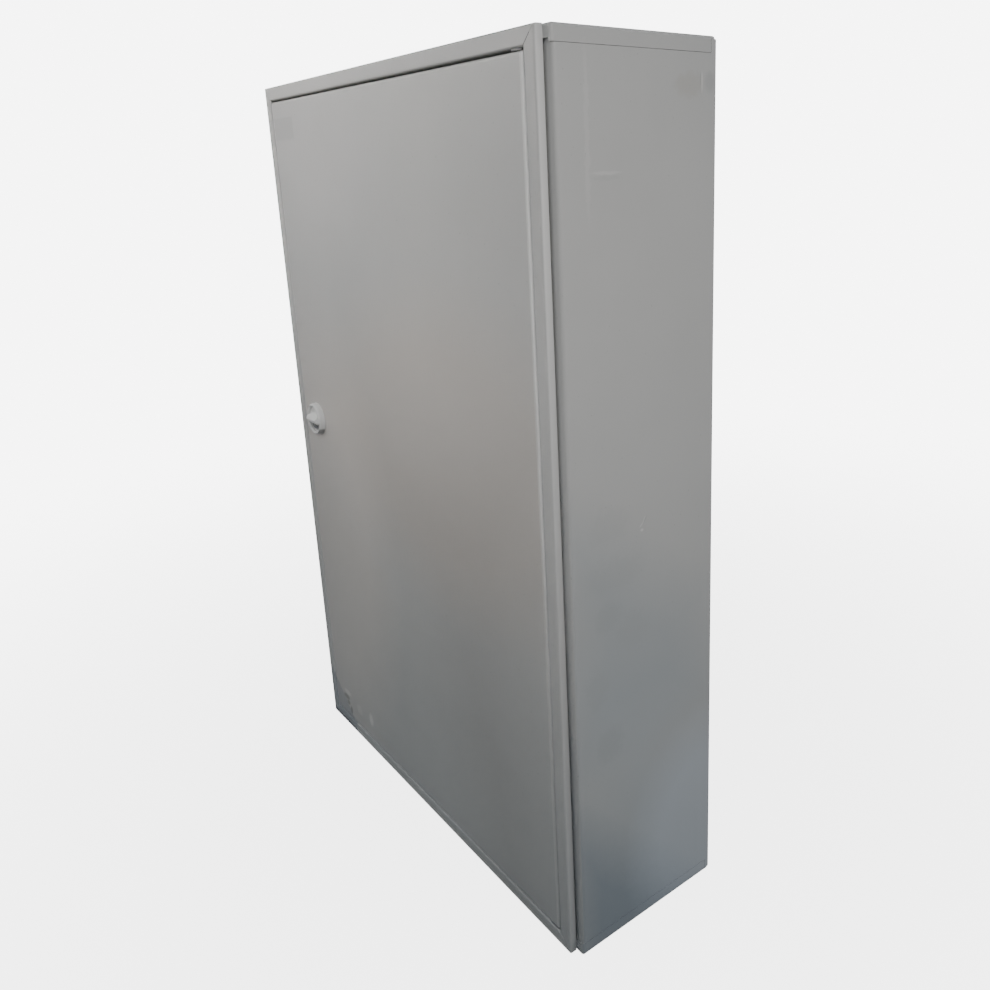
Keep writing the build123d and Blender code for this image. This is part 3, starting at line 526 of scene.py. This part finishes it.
def pick(mesh, test):
    """Select the faces of an edit-mesh whose centre and normal pass a test."""
    bpy.ops.mesh.select_all(action="DESELECT")
    bpy.ops.object.mode_set(mode="OBJECT")
    for polygon in mesh.polygons:
        polygon.select = test(polygon.center, polygon.normal)
    bpy.ops.object.mode_set(mode="EDIT")


def cross_head_screws(name, places, turn, head_radius, head_height, shank_radius, shank_length):
    """Cheese-head screws whose heads sit on the given places and face -Y, or +Y if turned."""
    bpy.ops.object.select_all(action="DESELECT")
    bpy.ops.mesh.primitive_cylinder_add(vertices=32, radius=head_radius, depth=head_height,
                                        location=(0.0, -head_height / 2, 0.0),
                                        rotation=(math.radians(90.0), 0.0, 0.0))
    screw = bpy.context.object
    bpy.ops.object.transform_apply(location=True, rotation=True, scale=True)
    bpy.ops.object.mode_set(mode="EDIT")
    bpy.ops.mesh.select_mode(type="FACE")
    pick(screw.data, lambda centre, normal: normal.y > 0.9)
    bpy.ops.mesh.inset(thickness=head_radius - shank_radius)
    bpy.ops.mesh.extrude_region_move(TRANSFORM_OT_translate={"value": (0.0, shank_length, 0.0)})
    pick(screw.data, lambda centre, normal: normal.y < -0.9)
    bpy.ops.mesh.bevel(offset=head_height * 0.3, segments=3, affect="EDGES")
    bpy.ops.object.mode_set(mode="OBJECT")
    # The recess is a cross of two slots, cut down from the top of the head.
    for quarter in (0.0, 90.0):
        bpy.ops.mesh.primitive_cube_add(size=1.0, location=(0.0, -head_height, 0.0))
        cutter = bpy.context.object
        cutter.scale = (head_radius * 1.15, head_height * 1.1, head_radius * 0.24)
        cutter.rotation_euler = (0.0, math.radians(quarter), 0.0)
        recess = screw.modifiers.new("recess", "BOOLEAN")
        recess.operation = "DIFFERENCE"
        recess.object = cutter
        bpy.context.view_layer.objects.active = screw
        bpy.ops.object.modifier_apply(modifier=recess.name)
        bpy.data.objects.remove(cutter, do_unlink=True)
    copies = []
    for place in places:
        copy = screw.copy()
        copy.data = screw.data.copy()
        copy.rotation_euler = (0.0, 0.0, math.radians(turn))
        copy.location = place
        bpy.context.scene.collection.objects.link(copy)
        copies.append(copy)
    bpy.data.objects.remove(screw, do_unlink=True)
    bpy.ops.object.select_all(action="DESELECT")
    for copy in copies:
        copy.select_set(True)
    bpy.context.view_layer.objects.active = copies[0]
    bpy.ops.object.join()
    joined = bpy.context.object
    joined.name = name
    bpy.ops.object.transform_apply(location=True, rotation=True, scale=True)
    bpy.ops.object.shade_smooth_by_angle(angle=math.radians(35.0))
    return joined


zinc = zinc_plate("zinc_plated_steel")
frame_head_radius = 0.0045
frame_head_height = 0.0024
frame_screws_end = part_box("frame_screws")[1]
frame_screw_x = frame_screws_end[0] - frame_head_radius
frame_screw_level = frame_screws_end[2] - frame_head_radius
frame_screw_seat = frame_screws_end[1] - frame_head_height
frame_heads = cross_head_screws(
    "frame_screw_heads",
    [(side * frame_screw_x, frame_screw_seat, rise * frame_screw_level)
     for side in (-1, 1) for rise in (-1, 1)],
    turn=180.0, head_radius=frame_head_radius, head_height=frame_head_height,
    shank_radius=0.0025, shank_length=0.0040)
finish_piece(frame_heads, zinc, "enclosure", "zinc_plated_steel", "frame_screws")


# Corner pivot hinges
# A coated lug in the slot at each right-hand corner, welded under the frame, with a
# plain steel pin through it into the folded edge of the door.
# The lugs carry a darker copy of the case coat with little gloss, as painted shade for the slot they
# sit in.
lug_shaded_coat = powder_coat("lug_painted_shade_coat", tinted(coat_tone, 0.6, 0.6, 0.6), foot_shade=0.22)
lug_shaded_coat.node_tree.nodes["Principled BSDF"].inputs["Specular IOR Level"].default_value = 0.1
give(lug_shaded_coat, "upper_hinge_plate", "lower_hinge_plate")
give(zinc, "upper_hinge_pin", "lower_hinge_pin")


# Door
# A shallow folded pan in the same coat, with two top-hat stiffeners and an earth stud
# welded behind it. The lower left corner is scuffed dark blue-grey, with a few chips down
# to the primer.
door_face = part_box("door_panel")[0][1]
# The chips and the bare spots beside them, then a painted warm reflection over the middle, a painted
# pool of light on the lower left and painted shade on the upper left.
door_marks = (
    ((-0.1977, door_face, -0.3351), (0.0100, 0.006, 0.0040), unturned, 0.003, 0.55, near_black),
    ((-0.1934, door_face, -0.3414), (0.0050, 0.006, 0.0040), unturned, 0.003, 0.50, near_black),
    ((-0.1867, door_face, -0.3492), (0.0028, 0.006, 0.0070), unturned, 0.002, 0.55, near_black),
    ((-0.1931, door_face, -0.3273), (0.0110, 0.006, 0.0042), unturned, 0.003, 0.45, pale_scratch_and_highlight),
    ((-0.1620, door_face, -0.3367), (0.0090, 0.006, 0.0080), unturned, 0.003, 0.22, pale_scratch_and_highlight),
    ((-0.1311, door_face, -0.3345), (0.0060, 0.006, 0.0100), unturned, 0.003, 0.55, pale_scratch_and_highlight),
    ((0.080, door_face, 0.040), (0.300, 0.020, 0.170), unturned, 0.030, 0.24, (0.50, 0.42, 0.35)),
    ((-0.190, door_face, -0.110), (0.170, 0.020, 0.300), unturned, 0.010, 0.30, (0.68, 0.62, 0.57)),
    ((-0.160, door_face, 0.290), (0.250, 0.020, 0.260), unturned, 0.010, 0.28, (0.32, 0.33, 0.345)),
)
label_ghost = (0, ((-0.225, 0.344), (-0.174, 0.344), (-0.174, 0.320), (-0.225, 0.320)),
               0.006, 0.0020, 0.32, (0.25, 0.25, 0.25))
# Painted highlight on the door's right-hand side wall, where it shows in the slot by the frame.
door_slot_painted_light = (
    ((0.2272, -0.1630, 0.250), (0.0026, 0.0045, 0.560), unturned, 0.0, 0.85, (0.85, 0.85, 0.84)),
)
door_skin = (1, door_face + 0.0010, door_face + 0.0004)
door_coat = powder_coat("door_powder_coat", coat_tone, foot_shade=0.16)
lay_over(door_coat, patch_share, (painted_low_reflection, scuff, label_ghost), door_skin)
lay_over(door_coat, mark_share, door_marks, door_skin)
# Painted highlight on the door's upright edges, fainter towards the floor.
door_bend_x = 0.2234
paint_edge_highlight(door_coat, door_bend_x, tinted(coat_tone, 1.32, 1.32, 1.32))
lay_over(door_coat, mark_share, door_slot_painted_light)
give(door_coat, "door_panel")
give(inner_coat, "door_stiffener_upper", "door_stiffener_lower")
zinc_thread_y = zinc_plate("zinc_thread_along_depth", thread="Y")
give(zinc_thread_y, "door_earth_stud")


# Door gasket
# A continuous strip of black foam rubber on the back lips of the door, joined at the
# lower corner, with a rounded face that presses on the seat of the frame.
def rubber(name, tone, pore_scale):
    """Matt black rubber with pores."""
    finish, tree, shader = new_finish(name, Roughness=0.86)
    colour = shades(tree, noise(tree, 45.0, 5.0), 0.3, tone, 0.75,
                    tuple(c * 1.9 + 0.004 for c in tone))
    tree.links.new(colour, shader.inputs["Base Color"])
    bumps(tree, shader, (noise(tree, pore_scale, 3.0), 0.35, 0.0003))
    return finish


def flat_ring(name, lowest, highest, width, normal_axis, round_over):
    """Rectangular strip ring in the given limits, rounded along its free face."""
    bpy.ops.object.select_all(action="DESELECT")
    middle = [(a + b) / 2 for a, b in zip(lowest, highest)]
    start = list(middle)
    start[normal_axis] = lowest[normal_axis]
    turn = (math.radians(-90.0), 0.0, 0.0) if normal_axis == 1 else (0.0, 0.0, 0.0)
    other = 2 if normal_axis == 1 else 1
    bpy.ops.mesh.primitive_plane_add(size=1.0, location=start, rotation=turn)
    piece = bpy.context.object
    piece.name = name
    piece.scale = (highest[0] - lowest[0], highest[other] - lowest[other], 1.0)
    bpy.ops.object.transform_apply(location=True, rotation=True, scale=True)
    bpy.ops.object.mode_set(mode="EDIT")
    bpy.ops.mesh.select_mode(type="FACE")
    bpy.ops.mesh.select_all(action="SELECT")
    bpy.ops.mesh.inset(thickness=width)
    bpy.ops.mesh.delete(type="FACE")
    bpy.ops.mesh.select_all(action="SELECT")
    rise = [0.0, 0.0, 0.0]
    rise[normal_axis] = highest[normal_axis] - lowest[normal_axis]
    bpy.ops.mesh.extrude_region_move(TRANSFORM_OT_translate={"value": rise})
    bpy.ops.mesh.select_all(action="SELECT")
    bpy.ops.mesh.normals_make_consistent(inside=False)
    top = highest[normal_axis]
    pick(piece.data, lambda centre, normal: abs(centre[normal_axis] - top) < 1e-5)
    bpy.ops.mesh.region_to_loop()
    bpy.ops.mesh.bevel(offset=round_over, segments=4, affect="EDGES")
    bpy.ops.object.mode_set(mode="OBJECT")
    bpy.ops.object.shade_smooth_by_angle(angle=math.radians(40.0))
    return piece


foam = rubber("black_foam_rubber", (0.014, 0.014, 0.015), 1600.0)
gasket_low, gasket_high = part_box("door_gasket")
door_seal = flat_ring("door_foam_seal", gasket_low, gasket_high,
                      width=0.005, normal_axis=1, round_over=0.0020)
finish_piece(door_seal, foam, "door", "seal_rubber", "door_gasket")


# Wing latch
# A die-cast zinc quarter-turn lock, sprayed the colour of the case: a dished bezel held
# by a flat nut behind the door, a wing to turn and a steel cam on its square spindle.
# The latch coat is a lighter copy of the case coat, painted light on the latch.
latch_painted_light_tone = tinted(coat_tone, 1.65, 1.65, 1.65)
# Painted shadow under the wing and painted shade in the upper part of the dish.
dish_painted_shade = (
    ((-0.1930, -0.1675, 0.0140), (0.0150, 0.0030, 0.0065), unturned, 0.001, 0.88, near_black),
    ((-0.1975, -0.1675, 0.0320), (0.0080, 0.0030, 0.0050), unturned, 0.001, 0.35, dark_rub_and_shade),
)
# Painted shade on the lower part of the bezel and a painted shadow on its lower right side.
rim_painted_shade = (
    ((-0.1980, -0.1700, 0.0090), (0.0200, 0.0100, 0.0120), unturned, 0.003, 0.55, coat_tone),
    ((-0.1780, -0.1680, 0.0080), (0.0070, 0.0080, 0.0070), unturned, 0.002, 0.55, near_black),
)
latch_coat = powder_coat("latch_spray_coat", latch_painted_light_tone, foot_shade=0.0)
lay_over(latch_coat, mark_share, dish_painted_shade)
give(latch_coat, "latch_knob")
bezel_coat = powder_coat("latch_bezel_coat", latch_painted_light_tone, foot_shade=0.0)
lay_over(bezel_coat, mark_share, rim_painted_shade)
give(bezel_coat, "latch_bezel")
give(zinc, "latch_nut", "latch_spindle", "latch_cam", "cam_nut")


# Cable entry
# A plate with five round cable holes over the opening in the floor of the case, on a flat
# neoprene gasket, held by six welded studs and zinc-plated nuts.
neoprene = rubber("neoprene", (0.018, 0.018, 0.019), 900.0)
seal_low, seal_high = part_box("gland_gasket")
plate_seal = flat_ring("gland_plate_seal", seal_low, seal_high,
                       width=0.015, normal_axis=2, round_over=0.0003)
finish_piece(plate_seal, neoprene, "enclosure", "seal_rubber", "gland_gasket")
zinc_thread_z = zinc_plate("zinc_thread_upright", thread="Z")
give(zinc_thread_z, "gland_studs")
give(zinc, "gland_nuts")


# Mounting plate
# Galvanised sheet with a spangled zinc coat, held off the back of the case by four
# spacers on welded studs. Two pressed top-hat rails are screwed to it.
def galvanised(name):
    """Zinc-coated sheet, each spangle with its own shade and gloss."""
    tone = (0.55, 0.56, 0.56)
    finish, tree, shader = new_finish(name, Metallic=0.9)
    spangle = tree.nodes.new("ShaderNodeTexVoronoi")
    spangle.inputs["Scale"].default_value = 110.0
    tree.links.new(place_in(tree), spangle.inputs["Vector"])
    grain = tree.nodes.new("ShaderNodeSeparateColor")
    tree.links.new(spangle.outputs["Color"], grain.inputs["Color"])
    colour = shades(tree, grain.outputs["Red"], 0.0, tinted(tone, 0.84, 0.84, 0.84),
                    1.0, tinted(tone, 1.10, 1.10, 1.10))
    clouds = levels(tree, noise(tree, 7.0, 4.0), 0.45, 0.7, 0.0, 0.35)
    colour = blend_in(tree, clouds, colour, tuple(c * 0.78 for c in tone))
    tree.links.new(colour, shader.inputs["Base Color"])
    tree.links.new(levels(tree, grain.outputs["Green"], 0.0, 1.0, 0.34, 0.52),
                   shader.inputs["Roughness"])
    bumps(tree, shader, (noise(tree, 500.0, 2.0), 0.12, 0.0002))
    return finish


zinc_sheet = galvanised("galvanised_sheet")
rail_steel = zinc_plate("passivated_rail_steel", (0.60, 0.58, 0.52))
give(zinc_sheet, "mounting_plate")
give(rail_steel, "upper_rail", "lower_rail")
give(zinc_thread_y, "plate_studs")
give(zinc, "plate_spacers", "plate_nuts")
rail_screw_x = 0.155
rail_levels = (0.130, -0.050)
rail_seat = -0.023
m5_screw = {"head_radius": 0.0040, "head_height": 0.0025, "shank_radius": 0.0024}
rail_heads = cross_head_screws(
    "rail_screw_heads",
    [(side * rail_screw_x, rail_seat, level) for side in (-1, 1) for level in rail_levels],
    turn=0.0, shank_length=0.0070, **m5_screw)
finish_piece(rail_heads, zinc, "enclosure", "zinc_plated_steel", "rail_screws")


# Rail-mounted switchgear
# Four-pole main switch and six single-pole breakers in matt light grey moulded cases,
# with slotted terminal screws and dark toggles, held by an end clamp at each side.
def moulded(name, tone, roughness):
    """Matt moulded plastic with a fine grain and a little dust."""
    finish, tree, shader = new_finish(name)
    colour = shades(tree, noise(tree, 30.0, 4.0), 0.3, tuple(c * 0.95 for c in tone),
                    0.7, tuple(min(1.0, c * 1.04) for c in tone))
    dust = levels(tree, noise(tree, 14.0, 6.0), 0.55, 0.75, 0.0, 0.16)
    colour = blend_in(tree, dust, colour, (0.36, 0.34, 0.30))
    tree.links.new(colour, shader.inputs["Base Color"])
    tree.links.new(levels(tree, noise(tree, 80.0, 3.0), 0.3, 0.7, roughness - 0.05,
                          roughness + 0.07), shader.inputs["Roughness"])
    bumps(tree, shader, (noise(tree, 900.0, 2.0), 0.12, 0.0002))
    return finish


breakers = range(1, 7)
case_plastic = moulded("light_grey_moulding", (0.62, 0.63, 0.62), 0.50)
clamp_plastic = moulded("mid_grey_moulding", (0.30, 0.31, 0.31), 0.55)
toggle_plastic = moulded("black_toggle_moulding", (0.030, 0.030, 0.032), 0.38)
main_toggle_plastic = moulded("red_toggle_moulding", (0.42, 0.030, 0.022), 0.36)
give(case_plastic, "main_switch_housing", *[f"breaker_{i}_housing" for i in breakers])
give(toggle_plastic, *[f"breaker_{i}_lever" for i in breakers])
give(main_toggle_plastic, "main_switch_lever")
give(clamp_plastic, "end_clamps")
give(zinc, "terminal_screws")


# Neutral and earth bars
# Sawn square brass bars, drilled for the wires and carried by moulded posts, blue for
# the neutral bar and green for the earth bar, with hexagon clamping screws.
def brass(name):
    """Drawn brass, streaked along X and tarnished in clouds."""
    finish, tree, shader = new_finish(name, Metallic=1.0)
    colour = shades(tree, noise(tree, 40.0, 5.0), 0.3, (0.56, 0.39, 0.15), 0.75,
                    (0.68, 0.50, 0.23))
    tarnish = levels(tree, noise(tree, 18.0, 6.0), 0.52, 0.72, 0.0, 0.45)
    colour = blend_in(tree, tarnish, colour, (0.30, 0.20, 0.09))
    tree.links.new(colour, shader.inputs["Base Color"])
    tree.links.new(levels(tree, noise(tree, 60.0, 3.0, (0.05, 1.0, 1.0)), 0.3, 0.7, 0.24, 0.42),
                   shader.inputs["Roughness"])
    bumps(tree, shader, (noise(tree, 1400.0, 2.0, (0.03, 1.0, 1.0)), 0.25, 0.0001))
    return finish


give(brass("drawn_brass"), "neutral_bar", "earth_bar")
give(moulded("blue_post_moulding", (0.05, 0.16, 0.42), 0.45), "neutral_posts")
give(moulded("green_post_moulding", (0.06, 0.28, 0.10), 0.45), "earth_posts")
give(zinc, "bar_screws")
bar_screw_x = 0.092
bar_levels = (-0.170, -0.230)
bar_seat = -0.053
bar_heads = cross_head_screws(
    "bar_screw_heads",
    [(side * bar_screw_x, bar_seat, level) for side in (-1, 1) for level in bar_levels],
    turn=0.0, shank_length=0.0330, **m5_screw)
finish_piece(bar_heads, zinc, "enclosure", "zinc_plated_steel", "bar_post_screws")


# Earth stud
# A welded M8 stud and nut at the lower right of the back of the case, where the
# protective conductor is fixed. The door carries a smaller one of its own.
give(zinc_thread_y, "earth_stud")
give(zinc, "earth_nut")
